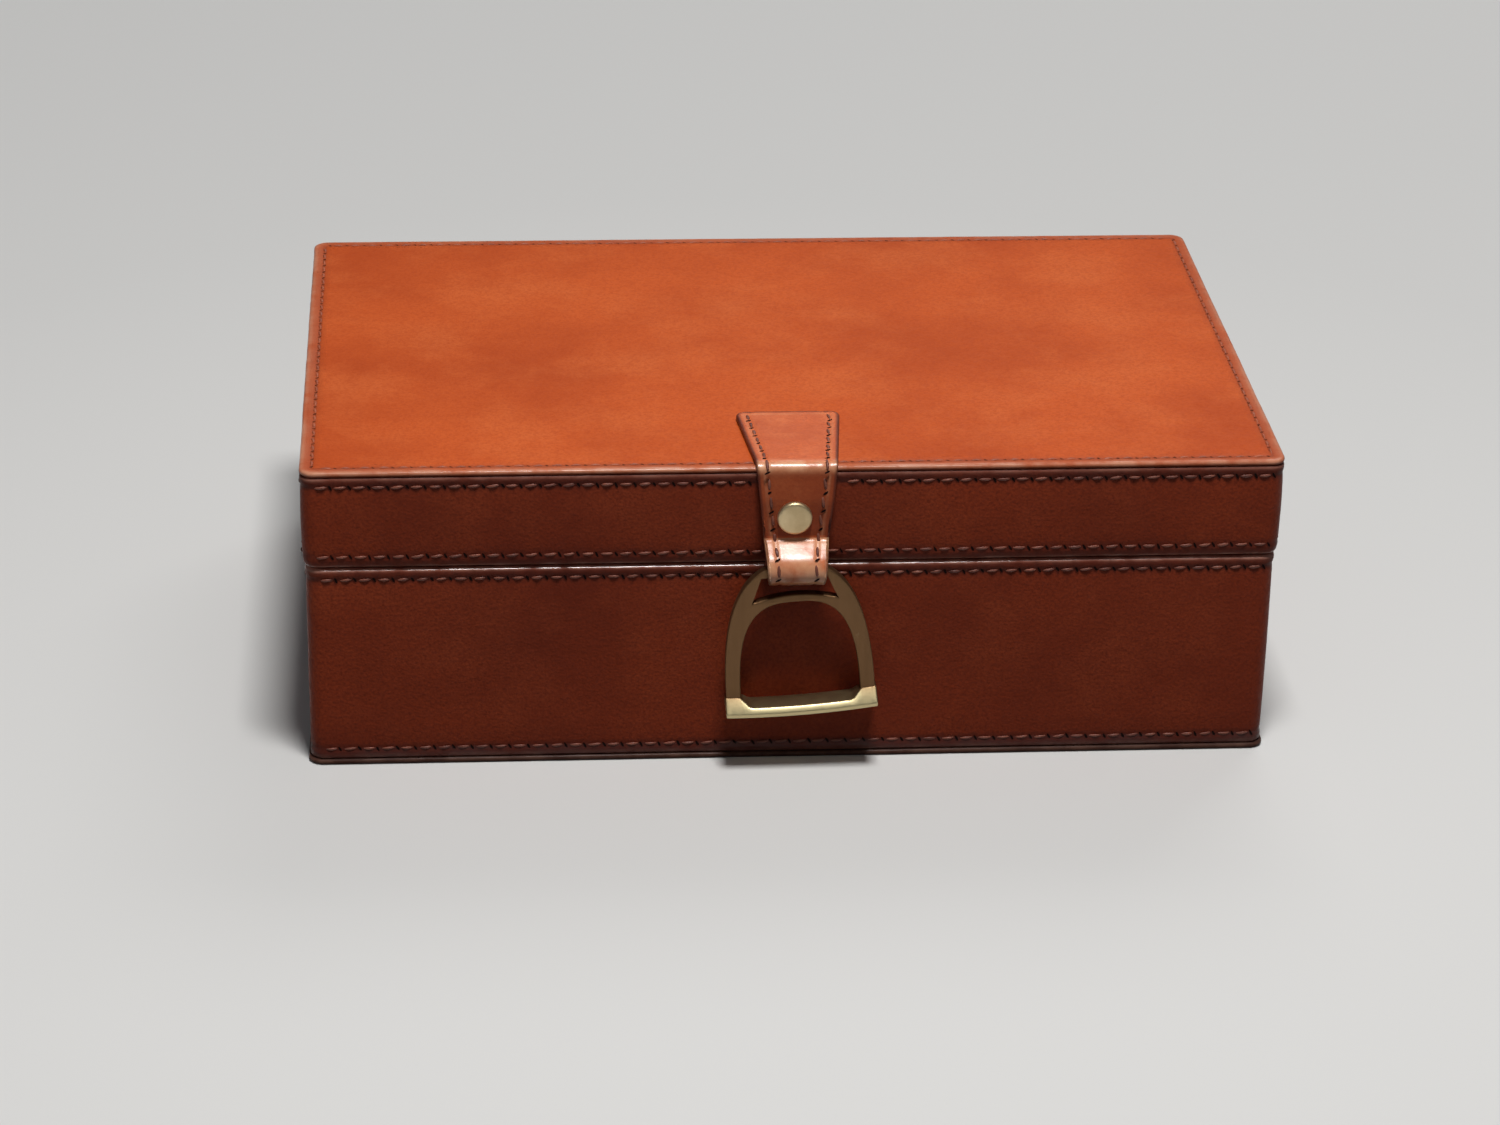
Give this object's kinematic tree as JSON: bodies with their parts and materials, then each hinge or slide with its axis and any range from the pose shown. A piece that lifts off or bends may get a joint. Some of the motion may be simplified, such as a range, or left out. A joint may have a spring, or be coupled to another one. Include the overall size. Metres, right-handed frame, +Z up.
{
  "type": "jewellery case",
  "caption": "Leather covered jewellery case with a hinged lid, a lift-out lined tray and a stirrup pull on a riveted strap.",
  "frame": {"origin": "middle of the flat bottom face, on the table", "axes": "+X to the right along the front, +Y from the front to the back, +Z up"},
  "size_m": [0.26, 0.1871, 0.0875],
  "materials": {
    "top_leather": "smooth waxed tan leather, softly mottled",
    "side_leather": "smooth waxed leather, fine grain",
    "sole_leather": "plain leather, worn edge",
    "strap_leather": "thick bridle leather with painted edges",
    "trim_leather": "thin leather trim",
    "board": "plain board",
    "suede": "short nap suede cloth",
    "pad_suede": "padded suede cloth",
    "ring_suede": "padded suede rolls",
    "hinge_brass": "satin brass",
    "stirrup_brass": "antique brass, polished on the tread",
    "rivet_brass": "pale brass",
    "mirror": "polished"
  },
  "bodies": {
    "base": {"base_back_board": "board", "base_back_lining": "suede", "base_bottom_leather": "sole_leather", "base_divider": "suede", "base_floor_board": "board", "base_floor_pad": "pad_suede", "base_front_board": "board", "base_front_lining": "suede", "base_left_board": "board", "base_left_lining": "suede", "base_right_board": "board", "base_right_lining": "suede", "base_side_leather": "side_leather", "hinge_leaf_base_left": "hinge_brass", "hinge_leaf_base_right": "hinge_brass", "hinge_pin_left": "hinge_brass", "hinge_pin_right": "hinge_brass", "hinge_screws_base": "hinge_brass", "tray_ledge_left": "suede", "tray_ledge_right": "suede"},
    "lid": {"hinge_leaf_lid_left": "hinge_brass", "hinge_leaf_lid_right": "hinge_brass", "hinge_screws_lid": "hinge_brass", "lid_back_board": "board", "lid_back_lining": "suede", "lid_front_board": "board", "lid_front_lining": "suede", "lid_left_board": "board", "lid_left_lining": "suede", "lid_mirror": "mirror", "lid_pad": "pad_suede", "lid_right_board": "board", "lid_right_lining": "suede", "lid_side_leather": "side_leather", "lid_top_board": "board", "lid_top_leather": "top_leather", "mirror_frame": "trim_leather", "rivet_washer": "rivet_brass", "strap": "strap_leather", "strap_rivet": "rivet_brass"},
    "stirrup_pull": {"stirrup": "stirrup_brass"},
    "tray": {"ring_rolls": "ring_suede", "tray_back_wall": "suede", "tray_cross_divider": "suede", "tray_floor": "suede", "tray_floor_lining": "suede", "tray_front_divider": "suede", "tray_front_wall": "suede", "tray_left_wall": "suede", "tray_right_wall": "suede", "tray_ring_divider": "suede", "tray_tab_left": "trim_leather", "tray_tab_right": "trim_leather"}
  },
  "joints": [
    {"name": "lid_hinge", "type": "hinge", "parent": "base", "child": "lid", "pos_m": [0, 0.0873, 0.0582], "axis": [-1, 0, 0], "range_deg": [0, 95]},
    {"name": "stirrup_swing", "type": "hinge", "parent": "lid", "child": "stirrup_pull", "pos_m": [0, -0.0894, 0.0594], "axis": [-1, 0, 0], "range_deg": [0, 100]},
    {"name": "tray_lift", "type": "slide", "parent": "base", "child": "tray", "axis": [0, 0, 1], "range_m": [0, 0.014]}
  ]
}
